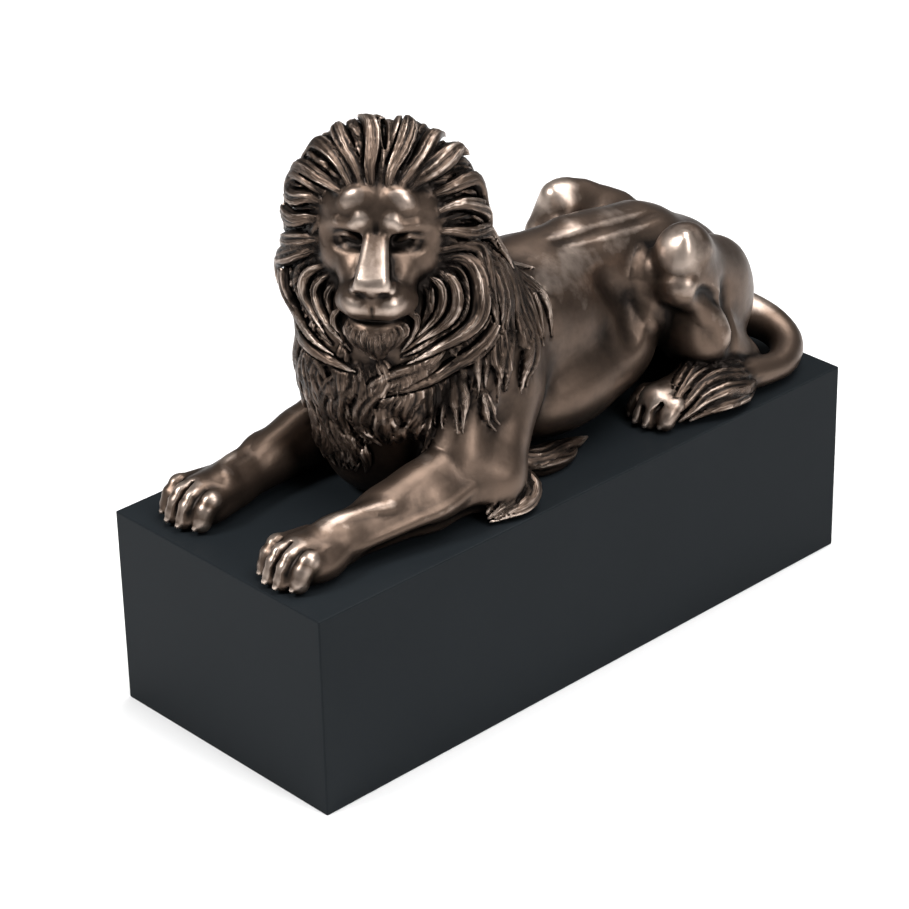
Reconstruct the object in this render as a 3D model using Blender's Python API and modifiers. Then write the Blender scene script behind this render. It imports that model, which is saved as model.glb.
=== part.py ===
"""A bronze lion lying on a black oblong plinth: two castings, the lion and its plinth.

Run it in Blender 4.5, from the Text Editor or with blender --background --python part.py.
Metres, +Z up, the lion facing -Y, the origin under the middle of the plinth.
"""

import math
import random

import bmesh
import bpy
from mathutils import Euler, Matrix, Vector
from mathutils.bvhtree import BVHTree

# Driving sizes, in metres
LION_LENGTH = 0.254
PLINTH_LENGTH = 0.260
PLINTH_WIDTH = 0.107
PLINTH_HEIGHT = 0.0765
PLINTH_EDGE = 0.0005
SEAT_GAP = 0.0003

# The lion is carved in shares of its own length: one unit is a 254th of it, about a millimetre
UNIT = LION_LENGTH / 254
LION_TRIANGLES = 9700
BALL_SEGMENTS = 28
BALL_RINGS = 18

# How the lumps are pressed together, the body first, then its details: the grain in lion units and how many
# passes of softening follow
BODY_PRESSING = (1.5, 14)
DETAIL_PRESSING = (1.15, 2)

# The head is turned to the lion's left, bowed a little and tipped a trace
HEAD_CENTRE = Vector((2, -51, 98.7))
HEAD_YAW = math.radians(40.7)
HEAD_BOW = math.radians(4)
HEAD_ROLL = math.radians(1)


def clear_scene():
    for obj in list(bpy.data.objects):
        bpy.data.objects.remove(obj, do_unlink=True)


def principled(name, colour, roughness, metallic):
    material = bpy.data.materials.new(name)
    material.use_nodes = True
    shader = material.node_tree.nodes["Principled BSDF"]
    shader.inputs["Base Color"].default_value = (*colour, 1)
    shader.inputs["Roughness"].default_value = roughness
    shader.inputs["Metallic"].default_value = metallic
    material.diffuse_color = (*colour, 1)
    return material


def link(obj):
    bpy.context.scene.collection.objects.link(obj)
    return obj


def evaluated_mesh(obj):
    graph = bpy.context.evaluated_depsgraph_get()
    return bpy.data.meshes.new_from_object(obj.evaluated_get(graph))


def pressed(obj, voxel, passes):
    """Presses overlapping lumps into one body, then softens it."""
    remesh = obj.modifiers.new("One body", "REMESH")
    remesh.mode = "VOXEL"
    remesh.voxel_size = voxel
    smooth = obj.modifiers.new("Soften", "SMOOTH")
    smooth.factor = 0.5
    smooth.iterations = passes


class Clay:
    """Lumps of clay in lion units, z from the plinth's top."""

    def __init__(self):
        self.form = bmesh.new()
        bpy.ops.mesh.primitive_uv_sphere_add(segments=BALL_SEGMENTS, ring_count=BALL_RINGS, radius=1)
        sphere = bpy.context.object
        self.sphere = sphere.data
        bpy.data.objects.remove(sphere)

    def ball(self, centre, radii, turn=(0, 0, 0)):
        """An ellipsoid, turned by degrees about X, Y and Z."""
        rotation = Euler([math.radians(a) for a in turn]).to_matrix().to_4x4()
        lump = self.sphere.copy()
        lump.transform(Matrix.Translation(Vector(centre)) @ rotation @ Matrix.Diagonal((*radii, 1)))
        self.form.from_mesh(lump)
        bpy.data.meshes.remove(lump)

    def limb(self, *joints):
        """Tapering rods with round ends from joint to joint. A joint is x, y, z and its radius."""
        for ends in zip(joints, joints[1:]):
            rod = bmesh.new()
            for *centre, radius in ends:
                lump = self.sphere.copy()
                lump.transform(Matrix.Translation(Vector(centre)) @ Matrix.Scale(radius, 4))
                rod.from_mesh(lump)
                bpy.data.meshes.remove(lump)
            hull = bmesh.ops.convex_hull(rod, input=rod.verts)
            bmesh.ops.delete(rod, geom=hull["geom_interior"], context="VERTS")
            skin = bpy.data.meshes.new("rod")
            rod.to_mesh(skin)
            rod.free()
            self.form.from_mesh(skin)
            bpy.data.meshes.remove(skin)

    def locks(self, strands):
        """Locks of hair, each a list of points with their radii."""
        hair = bpy.data.curves.new("hair", "CURVE")
        hair.dimensions = "3D"
        hair.bevel_depth = 1
        hair.bevel_resolution = 1
        hair.use_fill_caps = True
        for strand in strands:
            spline = hair.splines.new("POLY")
            spline.points.add(len(strand) - 1)
            for knot, (point, radius) in zip(spline.points, strand):
                knot.co = (*point, 1)
                knot.radius = radius
        guide = link(bpy.data.objects.new("hair", hair))
        mesh = evaluated_mesh(guide)
        self.form.from_mesh(mesh)
        bpy.data.objects.remove(guide)
        bpy.data.meshes.remove(mesh)

    def mesh(self):
        mesh = bpy.data.meshes.new("clay")
        self.form.to_mesh(mesh)
        self.form.free()
        return mesh

    def softened(self, voxel, passes):
        """These lumps as one smooth mesh, and a tree that finds the nearest point on it."""
        obj = link(bpy.data.objects.new("clay", self.mesh()))
        pressed(obj, voxel, passes)
        mesh = evaluated_mesh(obj)
        bpy.data.objects.remove(obj)
        tree = BVHTree.FromPolygons([v.co for v in mesh.vertices], [p.vertices for p in mesh.polygons])
        return mesh, tree


HEAD_TURN = (Matrix.Rotation(HEAD_YAW, 3, "Z") @ Matrix.Rotation(HEAD_BOW, 3, "X")
             @ Matrix.Rotation(HEAD_ROLL, 3, "Y"))


def head_point(side, forward, up):
    """A point of the head in lion units, from its own side, forward and up distances."""
    return HEAD_CENTRE + HEAD_TURN @ Vector((side, -forward, up))


def skull(clay, centre, radii):
    """A ball of the head, in the head's own side, forward and up."""
    clay.ball(head_point(*centre), radii, [math.degrees(angle) for angle in HEAD_TURN.to_euler()])


def ridge(clay, *joints):
    """A limb of the head: each joint is side, forward, up and radius."""
    clay.limb(*((*head_point(*joint[:3]), joint[3]) for joint in joints))


def trunk(clay):
    clay.ball((0, 12, 41), (29, 44, 32))
    clay.ball((0, 46, 43), (22, 42, 28))
    clay.ball((0, -20, 44), (31, 26, 33))
    clay.ball((0, -40, 28), (23, 24, 28))
    clay.ball((4, 18, 22), (31, 42, 22.5))
    clay.ball((4, 45, 27), (27, 25, 23))
    clay.ball((0, 74, 41), (23, 26, 26))
    clay.ball((0, 90, 28), (26, 28, 29))
    clay.limb((0, 2, 66, 7), (0, 40, 65, 7.5), (0, 74, 60, 7.5))
    for side in (-1, 1):
        clay.ball((side * 15, -8, 50), (15, 22, 22))


def hind_leg(clay, side, knee, shin):
    clay.ball((side * 25, 86, 32), (13, 23, 26))
    clay.limb((side * 23, 89, 42, 13), knee, shin)
    clay.ball((side * 21, 60, 44), (9, 9, 15))
    clay.limb((side * 33, 71, 48, 9), (side * 34, 76, 26, 10), (side * 35, 92, 12, 8))
    clay.limb((side * 36, 95, 8, 7), (side * 36, 72, 8, 8), (side * 35.5, 51, 6.5, 8.3))


def knees(clay):
    """The lion's left knee stands up; the right one leans back against the flank."""
    clay.ball((31, 68, 60), (8, 10.5, 11.5), (10, 0, 0))
    clay.ball((34.9, 62.8, 62.2), (4.4, 4.4, 9.4), (10, 0, 0))
    clay.ball((-33, 69.5, 57.5), (7.8, 7.6, 11), (-38, 0, 0))
    clay.ball((-36.2, 64, 54), (4.4, 4, 8.4), (-38, 0, 0))
    clay.limb((-33, 71, 60, 6), (-29, 84, 52.5, 8), (-25, 96, 44.5, 9))


def fore_leg(clay, side, elbow, middle, wrist, paw):
    clay.ball((side * 24, -22, 38), (14, 22, 28), (0, side * 6, 0))
    clay.limb((side * 24, -36, 38, 13), (side * 30, -44, 20, 12), (*elbow, 11))
    clay.limb((side * 26, -18, 34, 13), (*elbow, 11))
    clay.limb((*elbow, 10), middle, (*wrist, 8), (*paw, 7.5))
    clay.ball((paw[0], paw[1] + 2, 6.2), (10.8, 11.5, 7.2))


def tail(clay):
    clay.limb(
        (3, 102, 19, 10.5), (13, 115, 15.5, 8.4), (25, 121.5, 11.5, 6.8), (35.5, 120, 7.8, 6),
        (42.5, 111, 6.2, 5.4), (44.5, 101, 6.6, 5), (43, 88, 8.5, 6), (40, 76, 10, 6), (39, 67, 10, 5),
    )


def head(clay):
    skull(clay, (0, -9, 2), (20, 19, 22))
    skull(clay, (0, 4, 11), (18, 8.6, 10.5))
    skull(clay, (0, 12, -12), (11, 13, 8))
    skull(clay, (0, 17, -24), (8.5, 9, 7))
    for side in (-1, 1):
        skull(clay, (side * 12, 5.5, -7), (7.5, 7.5, 7.5))


def mane(clay):
    skull(clay, (0, -10, -2), (34.5, 20.5, 39))
    skull(clay, (0, -8, -22), (35, 20, 26))
    clay.ball((-2, -49, 50), (30, 29, 42))
    clay.ball((-3, -50, 22), (21, 22, 24))
    clay.ball((4, -28, 66), (31, 26, 32))


def toes(clay, middle, spread, front, stretch):
    """Four toes bent over their knuckles, the outer two set back."""
    for toe in range(4):
        offset = toe - 1.5
        x, back = middle + offset * spread, middle + offset * spread * 0.75
        tip = front + 1.9 * abs(offset) ** 1.4
        clay.limb(
            (back, tip + 20 * stretch, 10.2 * stretch, 3.2), (x, tip + 8.5, 10.8 * stretch, 3),
            (x, tip + 5, 8.2 * stretch, 3), (x, tip + 3.4, 4.6, 3.3),
        )
        clay.ball((x, tip + 7.6, 12 * stretch), (2.6, 3.2, 2.4))
        clay.ball((x, tip + 3.3, 3.4), (3, 3.3, 3.3))


def face(clay):
    """Brows, eyes, cheeks, the broad flat nose, the muzzle's two pads and the bearded chin."""
    for side in (-1, 1):
        ridge(
            clay, (side * 2.8, 13, 8.6, 2.2), (side * 7, 12.6, 9.4, 2.4), (side * 13, 10, 8.8, 2.2),
            (side * 18.4, 4.5, 4.6, 2.6),
        )
        skull(clay, (side * 4.9, 12.6, 11.6), (3.4, 3.4, 3))
        skull(clay, (side * 7.4, 8.8, 16.8), (5.6, 3.8, 4.4))
        skull(clay, (side * 10.8, 5.6, 2.2), (4.8, 4.8, 4.3))
        ridge(clay, (side * 5.6, 9.8, 0.4, 1.2), (side * 10.8, 10.2, -1.6, 1.5), (side * 15.4, 7.4, 0.8, 1.3))
        skull(clay, (side * 18, 2.8, 0.5), (2.6, 4.2, 5.4))
        ridge(clay, (side * 1.9, 12.4, 7.4, 2.3), (side * 3.5, 28.2, -3.2, 2.5))
        skull(clay, (side * 5.8, 22.8, -14.2), (6.8, 8.4, 5.8))
        skull(clay, (side * 8.8, 18.4, -16.6), (5.2, 6.6, 3.8))
    ridge(clay, (0, 12, 6.8, 2.6), (0, 28.2, -3.8, 3.2))
    ridge(clay, (0, 12, 2, 3.8), (0, 20, -3.5, 4.6), (0, 23, -7, 5))
    skull(clay, (0, 28.2, -5.4), (5.4, 3.8, 2.8))
    skull(clay, (0, 22.4, -12.6), (6.4, 7.6, 7))
    skull(clay, (0, 21.2, -22.2), (9.2, 8.2, 3))
    skull(clay, (0, 20, -26), (9.6, 7.6, 5.8))
    skull(clay, (0.4, 19.4, -30), (5.6, 5.8, 4.8))


def hair_flow(point):
    """Which way the mane grows at a point: out from the face, round the cheeks, then down, and down behind."""
    rel = HEAD_TURN.transposed() @ (point - HEAD_CENTRE)
    across, up = rel.x, rel.z + 2
    reach = max(math.hypot(across, up), 1)
    out = HEAD_TURN @ Vector((across / reach, 0.25, up / reach))
    sign = 1 if across > 0 else -1
    around = HEAD_TURN @ Vector((sign * up / reach, 0.1, -abs(across) / reach))
    low = min(max((100 - point.z) / 40, 0), 1)
    side = min(max((30 - up) / 40, 0), 1)
    down = Vector((0, 0.15 if point.y > -40 else -0.1, -1))
    behind = min(max((rel.y - 14) / 8, 0), 1)
    fall = max(low, behind)
    flow = out * (1 - 0.6 * side) + around * 0.9 * side
    return flow * (1 - fall) + down * fall


def strand(tree, start, length, radius, step=3.0, lift=0.2):
    """One lock, walked over the clay along the flow, thin at both ends."""
    points = []
    count = max(int(length / step), 3)
    point = start
    for k in range(count + 1):
        near, normal, _, _ = tree.find_nearest(point)
        share = k / count
        thick = radius * min(1, 0.55 + 2.2 * share) * max(0.16, 1 - share ** 2.4)
        points.append((near + normal * (lift * radius + 0.9 * share * radius), thick))
        flow = hair_flow(near)
        flow -= normal * flow.dot(normal)
        point = near + flow.normalized() * step
    return points


# Rings of locks round the face and on over the back of the head: reach from its middle, how far forward,
# how many, their length and radius
FACE_RINGS = (
    (22, 4, 24, 20, 2.6), (28, -2, 26, 20, 2.8), (34, -8, 26, 20, 2.8), (38, -18, 22, 20, 2.8),
    (33, -25, 14, 21, 3.0), (22, -29, 10, 21, 3.0), (9, -31, 5, 20, 3.0),
)
# Rows of locks round the neck: height, how far round to each side in degrees, and how many
NECK_ROWS = ((88, 175, 18), (74, 172, 20), (60, 128, 16), (46, 105, 13), (32, 62, 8))
NECK_CENTRE = (-2, -48)
NECK_RADIUS = 34
NECK_LOCK = (20, 2.7)


def varied(tree, chance, start, length, radius):
    """A lock a little longer or shorter, thicker or thinner than asked."""
    return strand(tree, start, length * chance.uniform(0.85, 1.15), radius * chance.uniform(0.85, 1.1))


def mane_locks(tree):
    chance = random.Random(5)
    strands = []
    for ring, (reach, forward, count, length, radius) in enumerate(FACE_RINGS):
        for k in range(count):
            angle = math.tau * (k + 0.5 * (ring % 2)) / count
            start = head_point(reach * math.sin(angle) * 0.95, forward, reach * math.cos(angle) * 1.05 - 2)
            strands.append(varied(tree, chance, start, length, radius))
    for height, span, count in NECK_ROWS:
        for k in range(count):
            angle = math.radians(-span + 2 * span * (k + chance.uniform(0, 0.6)) / count)
            x = NECK_CENTRE[0] + NECK_RADIUS * math.sin(angle)
            y = NECK_CENTRE[1] - NECK_RADIUS * math.cos(angle)
            start = Vector((x, y, height + chance.uniform(-4, 4)))
            strands.append(varied(tree, chance, start, *NECK_LOCK))
    return strands


def tufts():
    """The elbows' tufts, the leaves of belly hair on the plinth and the tail's brush."""
    locks = []
    for side in (-1, 1):
        locks += [
            [((side * 38, -24, 10), 4), ((side * 43, -23, 7), 3.6), ((side * 47, -27, 4.4), 3.2),
             ((side * 48.4, -35, 3.2), 2.6), ((side * 46.6, -45, 2), 0.9)],
            [((side * 38, -33, 10), 4), ((side * 43, -32, 7.6), 3.4), ((side * 45.6, -37, 5), 2.8),
             ((side * 45.6, -45, 3), 0.9)],
            [((side * 20, -18, 15), 4), ((side * 26, -13, 7), 4), ((side * 29, -5, 3.8), 4.2),
             ((side * 28.6, 5, 3.2), 4.2), ((side * 27.6, 14, 2.8), 3.4), ((side * 27, 21, 2), 1.2)],
        ]
    locks += [
        [((45, 92, 4.5), 3.6), ((48.6, 80, 4.8), 3.8), ((49, 70, 5), 3.6), ((48, 62, 4.2), 2.8),
         ((46.4, 55, 2.6), 1)],
        [((45, 92, 6), 4), ((46.8, 81, 8), 4), ((46, 72, 9.6), 3.8), ((45, 64, 8.6), 3),
         ((45, 56, 5.4), 1)],
        [((44, 93, 8), 4), ((43, 82, 11.6), 4), ((41, 73, 13.4), 3.8), ((40.6, 65, 12.8), 3.2),
         ((43, 54, 8.6), 1.2)],
        [((42.5, 94, 8), 4), ((39.6, 84, 12.4), 3.8), ((36.4, 76, 13.8), 3.6), ((36, 67, 13.8), 3),
         ((40, 54, 11.4), 1.2)],
    ]
    return locks


def seat_cut(body):
    """Cuts the underside flat, a hair above the plinth."""
    top = PLINTH_HEIGHT + SEAT_GAP
    bpy.ops.mesh.primitive_cube_add(size=1, location=(0, 0, top / 2))
    cutter = bpy.context.object
    cutter.name = "seat_cutter"
    cutter.data.transform(Matrix.Diagonal((2 * PLINTH_LENGTH, 2 * PLINTH_LENGTH, top, 1)))
    cutter.hide_render = True
    cutter.display_type = "WIRE"
    cut = body.modifiers.new("Flat seat", "BOOLEAN")
    cut.object = cutter
    cut.operation = "DIFFERENCE"
    cut.solver = "EXACT"


def triangle_count(obj):
    mesh = evaluated_mesh(obj)
    mesh.calc_loop_triangles()
    count = len(mesh.loop_triangles)
    bpy.data.meshes.remove(mesh)
    return count


def lion():
    rough = Clay()
    trunk(rough)
    hind_leg(rough, 1, (31, 68, 60, 9.5), (35, 62, 51, 8))
    hind_leg(rough, -1, (-33, 70.5, 57.5, 8.2), (-35, 63, 49, 7.5))
    knees(rough)
    fore_leg(rough, 1, (37, -35, 12), (32, -62, 11.5, 11), (28.5, -100, 8.5), (27, -114, 7.5))
    fore_leg(rough, -1, (-35, -35, 11), (-31, -62, 10.5, 10), (-28.5, -98, 8), (-28.5, -111, 7.5))
    tail(rough)
    head(rough)
    mane(rough)
    smooth, tree = rough.softened(*BODY_PRESSING)
    fine = Clay()
    fine.form.from_mesh(smooth)
    face(fine)
    toes(fine, 26.6, 5.5, -128.6, 1)
    toes(fine, -29, 5.9, -125, 1)
    toes(fine, 35, 5, 40.5, 0.8)
    toes(fine, -36, 5, 40.5, 0.8)
    fine.locks(mane_locks(tree) + tufts())
    body = link(bpy.data.objects.new("lion", fine.mesh()))
    body.data.transform(Matrix.Translation((0, 0, PLINTH_HEIGHT)) @ Matrix.Scale(UNIT, 4))
    grain, passes = DETAIL_PRESSING
    pressed(body, grain * UNIT, passes)
    seat_cut(body)
    thin = body.modifiers.new("Fewer faces", "DECIMATE")
    thin.ratio = LION_TRIANGLES / triangle_count(body)
    body.data.materials.append(principled("bronze", (0.16, 0.11, 0.08), 0.38, 0.9))
    return body


def plinth():
    bpy.ops.mesh.primitive_cube_add(size=1, location=(0, 0, PLINTH_HEIGHT / 2))
    block = bpy.context.object
    block.name = "plinth"
    block.data.transform(Matrix.Diagonal((PLINTH_WIDTH, PLINTH_LENGTH, PLINTH_HEIGHT, 1)))
    edge = block.modifiers.new("Eased edges", "BEVEL")
    edge.width = PLINTH_EDGE
    edge.segments = 2
    block.data.materials.append(principled("black_paint", (0.02, 0.022, 0.025), 0.5, 0.0))
    return block


clear_scene()
plinth()
lion()
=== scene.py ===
"""The looks of a bronze lion lying on a black plinth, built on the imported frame.

Sizes on the lion are in lion units, 254 to its length, which makes each one a millimetre. The lion faces
-Y, its left is +X, and heights start at the top of the plinth.
"""

import math
import random

import bpy
import numpy as np
import openvdb
from mathutils import Euler, Matrix, Vector


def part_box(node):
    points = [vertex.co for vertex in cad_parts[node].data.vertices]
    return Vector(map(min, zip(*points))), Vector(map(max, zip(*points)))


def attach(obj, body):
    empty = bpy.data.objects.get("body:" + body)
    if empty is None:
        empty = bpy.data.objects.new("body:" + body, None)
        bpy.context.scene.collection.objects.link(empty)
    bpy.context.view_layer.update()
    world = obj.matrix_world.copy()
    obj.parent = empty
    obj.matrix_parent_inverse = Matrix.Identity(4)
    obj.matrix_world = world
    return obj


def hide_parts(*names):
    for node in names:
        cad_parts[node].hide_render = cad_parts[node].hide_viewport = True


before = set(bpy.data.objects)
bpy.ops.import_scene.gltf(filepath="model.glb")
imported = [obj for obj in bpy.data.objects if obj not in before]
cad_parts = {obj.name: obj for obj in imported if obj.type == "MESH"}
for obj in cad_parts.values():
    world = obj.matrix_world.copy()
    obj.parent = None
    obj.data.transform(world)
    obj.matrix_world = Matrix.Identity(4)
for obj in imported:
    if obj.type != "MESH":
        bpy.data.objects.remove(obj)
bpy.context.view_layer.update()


# Plinth
# One plain oblong block of fibre board, its edges barely eased, painted matte black.
# The lion stands on its top; nothing else touches it.

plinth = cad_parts["plinth"]
PLINTH_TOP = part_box("plinth")[1][2]


class Wire:
    """A node's output that can be used in sums, with numbers or with other outputs."""

    def __init__(self, socket):
        self.socket = socket
        self.tree = socket.id_data

    def maths(self, operation, *values):
        node = self.tree.nodes.new("ShaderNodeMath")
        node.operation = operation
        for socket, value in zip(node.inputs, values):
            feed(self.tree, socket, value)
        return Wire(node.outputs[0])

    def __add__(self, other):
        return self.maths("ADD", self, other)

    __radd__ = __add__

    def __sub__(self, other):
        return self.maths("SUBTRACT", self, other)

    def __rsub__(self, other):
        return self.maths("SUBTRACT", other, self)

    def __mul__(self, other):
        return self.maths("MULTIPLY", self, other)

    __rmul__ = __mul__

    def clipped(self):
        return self.maths("MINIMUM", self.maths("MAXIMUM", self, 0.0), 1.0)


def feed(tree, socket, value):
    """Links or sets one input."""
    if isinstance(value, Wire):
        tree.links.new(value.socket, socket)
    else:
        socket.default_value = value


class Finish:
    """One material: its Principled shader and the nodes that feed it."""

    def __init__(self, name, **constants):
        self.material = bpy.data.materials.new(name)
        self.material.use_nodes = True
        self.tree = self.material.node_tree
        self.shader = self.tree.nodes["Principled BSDF"]
        self.set(**constants)

    def set(self, **values):
        for name, value in values.items():
            feed(self.tree, self.shader.inputs[name.replace("_", " ")], value)

    def node(self, kind, settings=(), output=0, **inputs):
        """Any node: its type, its settings, and what its inputs hold."""
        node = self.tree.nodes.new(kind)
        for name, value in dict(settings).items():
            setattr(node, name, value)
        for name, value in inputs.items():
            key = int(name[1:]) if name[1:].isdigit() else name.replace("_", " ")
            feed(self.tree, node.inputs[key], value)
        return Wire(node.outputs[output])

    def mix(self, factor, first, second):
        """One colour into another as the factor goes from 0 to 1."""
        return self.node("ShaderNodeMix", {"data_type": "RGBA"}, 2, i0=factor, i6=first, i7=second)


PLINTH_BLACK = (0.0075, 0.0095, 0.0112, 1)
PLINTH_WORN = (0.0150, 0.0180, 0.0205, 1)
PAINT_GRAIN = 2200
PAINT_CLOUD = 22
PAINT_SHEEN = 0.05
PAINT_ROUGHNESS = 0.44
PAINT_RELIEF = 0.0002

black_paint = Finish("black_paint", Metallic=0.0, Specular_IOR_Level=PAINT_SHEEN)
place = black_paint.node("ShaderNodeTexCoord", output=3)
grain = black_paint.node("ShaderNodeTexNoise", Vector=place, Scale=PAINT_GRAIN, Detail=2.0)
cloud = black_paint.node("ShaderNodeTexNoise", Vector=place, Scale=PAINT_CLOUD, Detail=4.0)
black_paint.set(
    Base_Color=black_paint.mix((cloud * 0.5 + grain * 0.2 - 0.1).clipped(), PLINTH_BLACK, PLINTH_WORN),
    Roughness=PAINT_ROUGHNESS + cloud * 0.08 + grain * 0.06,
    Normal=black_paint.node("ShaderNodeBump", Strength=0.12, Distance=PAINT_RELIEF, Height=grain),
)
plinth.data.materials.clear()
plinth.data.materials.append(black_paint.material)


# Lion
# One casting in dark bronze, lying with its forelegs stretched out and its head turned to its left.
# It is modelled as the sculptor did, in clay: lumps pressed together, hair laid on, then cast whole.

LION_LENGTH = 254
LION_METRES = 0.254
UNIT = LION_METRES / LION_LENGTH
SEAT_GAP = 0.3
CLAY_LOW = (-54, -130, -2)
CLAY_HIGH = (54, 132, 146)
CLAY_GRAIN = 0.5
CLAY_REACH = 9

HEAD_CENTRE = np.array((2.0, -51.0, 98.7))
HEAD_YAW, HEAD_BOW, HEAD_ROLL = 40.7, 4, 1
HEAD_TURN = np.array(
    Matrix.Rotation(math.radians(HEAD_YAW), 3, "Z")
    @ Matrix.Rotation(math.radians(HEAD_BOW), 3, "X")
    @ Matrix.Rotation(math.radians(HEAD_ROLL), 3, "Y")
)


def head_point(side, forward, up):
    """A point of the head, from its own side, forward and up distances."""
    return HEAD_CENTRE + HEAD_TURN @ np.array((side, -forward, up), float)


class Clay:
    """Clay on a grid that holds each point's distance to the surface, negative inside."""

    def __init__(self, low, high, grain):
        self.low = np.array(low, np.float32)
        self.grain = grain
        self.axes = [np.arange(a, b, grain, dtype=np.float32) for a, b in zip(low, high)]
        self.field = np.full([len(axis) for axis in self.axes], CLAY_REACH * 2, np.float32)
        self.across, self.along, self.tone = (np.zeros(self.field.shape, np.float16) for _ in range(3))

    def area(self, low, high, margin):
        """The part of the grid in a box, and its coordinates, ready to be combined."""
        cut = []
        for axis, a, b in zip(self.axes, low, high):
            cut.append(slice(*np.searchsorted(axis, (a - margin, b + margin))))
        x, y, z = (axis[part] for axis, part in zip(self.axes, cut))
        return tuple(cut), x[:, None, None], y[None, :, None], z[None, None, :]

    def press(self, cut, distance, soft, carve):
        """Adds a lump to the clay, or carves it out, with a fillet as wide as soft."""
        here = self.field[cut]
        if carve:
            blend = np.maximum(soft - np.abs(here + distance), 0) / soft
            self.field[cut] = np.maximum(here, -distance) + blend * blend * soft / 4
        else:
            blend = np.maximum(soft - np.abs(here - distance), 0) / soft
            self.field[cut] = np.minimum(here, distance) - blend * blend * soft / 4

    def ball(self, centre, radii, turn=None, soft=5, carve=False):
        """An ellipsoid. turn is a rotation matrix, or degrees about X, Y and Z."""
        if turn is None:
            turn = np.eye(3)
        elif not isinstance(turn, np.ndarray):
            turn = np.array(Euler([math.radians(a) for a in turn]).to_matrix())
        centre, radii = np.array(centre, float), np.array(radii, float)
        extent = np.sqrt((turn * radii) ** 2 @ np.ones(3))
        margin = soft + 1.5 if carve or soft < 4 else CLAY_REACH
        cut, x, y, z = self.area(centre - extent, centre + extent, margin)
        x, y, z = x - centre[0], y - centre[1], z - centre[2]
        near, slope = 0, 0
        for k in range(3):
            along = x * turn[0, k] + y * turn[1, k] + z * turn[2, k]
            near = near + (along / radii[k]) ** 2
            slope = slope + (along / radii[k] ** 2) ** 2
        near = np.sqrt(near)
        self.press(cut, near * (near - 1) / np.sqrt(slope + 1e-9), soft, carve)

    def limb(self, *joints, soft=5, carve=False):
        """Tapering rods from joint to joint. A joint is x, y, z and its radius."""
        margin = soft + 1 if carve or soft < 4 else CLAY_REACH
        for a, b in zip(joints, joints[1:]):
            a, b = np.array(a, float), np.array(b, float)
            low = np.minimum(a[:3] - a[3], b[:3] - b[3])
            high = np.maximum(a[:3] + a[3], b[:3] + b[3])
            cut, x, y, z = self.area(low, high, margin)
            self.press(cut, rod_distance(x, y, z, a, b), soft, carve)

    def read(self, points, field=None):
        """The field's value at points, between the grid's own."""
        field = self.field if field is None else field
        spot = (np.atleast_2d(points) - self.low) / self.grain
        spot = np.clip(spot, 0, np.array(field.shape) - 1.001)
        base = spot.astype(int)
        part = spot - base
        total = 0
        for corner in range(8):
            step = np.array((corner & 1, corner >> 1 & 1, corner >> 2))
            weight = np.prod(np.where(step, part, 1 - part), axis=1)
            total = total + weight * field[tuple((base + step).T)]
        return total

    def normal(self, points, field=None, reach=1.2):
        """Which way the surface faces at points."""
        slope = [
            self.read(points + reach * np.eye(3)[k], field) - self.read(points - reach * np.eye(3)[k], field)
            for k in range(3)
        ]
        slope = np.array(slope).T
        return slope / (np.linalg.norm(slope, axis=1, keepdims=True) + 1e-9)

    def onto(self, points, field=None, turns=3):
        """Points moved onto the surface."""
        for _ in range(turns):
            points = points - self.normal(points, field) * self.read(points, field)[:, None]
        return points


def spline(knots, step):
    """A smooth course through knots, as points about step apart."""
    knots = np.array(knots, float)
    ends = np.vstack((2 * knots[0] - knots[1], knots, 2 * knots[-1] - knots[-2]))
    course = []
    for k in range(1, len(ends) - 2):
        p, q, r, s = ends[k - 1:k + 3]
        count = max(int(np.linalg.norm(r - q) / step + 0.5), 2)
        for t in np.arange(count) / count:
            course.append(q + 0.5 * t * (r - p + t * (2 * p - 5 * q + 4 * r - s + t * (3 * (q - r) + s - p))))
    course.append(knots[-1])
    return np.array(course)


def welt(radius, height, *knots, soft=2, carve=False):
    """A raised line over the clay, or a crease pressed into it, fading out at both ends."""
    path = clay.onto(spline(knots, 2.5))
    faces = clay.normal(path, reach=2)
    fade = np.sin(np.linspace(0.12, math.pi - 0.12, len(path))) ** 0.6
    sign = 1 if carve else -1
    path = path + sign * faces * (radius - height * fade)[:, None]
    clay.limb(*((*point, radius) for point in path), soft=soft, carve=carve)


def crease(radius, depth, *knots, soft=2):
    """A line pressed into the clay."""
    welt(radius, depth, *knots, soft=soft, carve=True)


def rod_distance(x, y, z, a, b):
    """Distance to a rod with round ends of two radii."""
    way = b[:3] - a[:3]
    length = max(np.linalg.norm(way), 1e-6)
    way = way / length
    shrink = np.clip((a[3] - b[3]) / length, -0.99, 0.99)
    x, y, z = x - a[0], y - a[1], z - a[2]
    along = x * way[0] + y * way[1] + z * way[2]
    out = np.sqrt(np.maximum(x * x + y * y + z * z - along * along, 0))
    lean = math.sqrt(1 - shrink * shrink)
    along = np.clip((along + out * shrink / lean) / length, 0, 1) * length
    x, y, z = x - along * way[0], y - along * way[1], z - along * way[2]
    return np.sqrt(x * x + y * y + z * z) - (a[3] + (b[3] - a[3]) * along / length)


clay = Clay(CLAY_LOW, CLAY_HIGH, CLAY_GRAIN)

# Trunk
clay.ball((0, 12, 41), (29, 44, 32))
clay.ball((0, 46, 43), (22, 42, 28))
clay.ball((0, -20, 44), (31, 26, 33))
clay.ball((0, -40, 28), (23, 24, 28))
clay.ball((4, 18, 22), (31, 42, 22.5))
clay.ball((4, 45, 27), (27, 25, 23))
clay.ball((0, 74, 41), (23, 26, 26))
clay.ball((0, 90, 28), (26, 28, 29))
for side in (-1, 1):
    clay.ball((side * 15, -8, 50), (15, 22, 22), soft=8)

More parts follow.
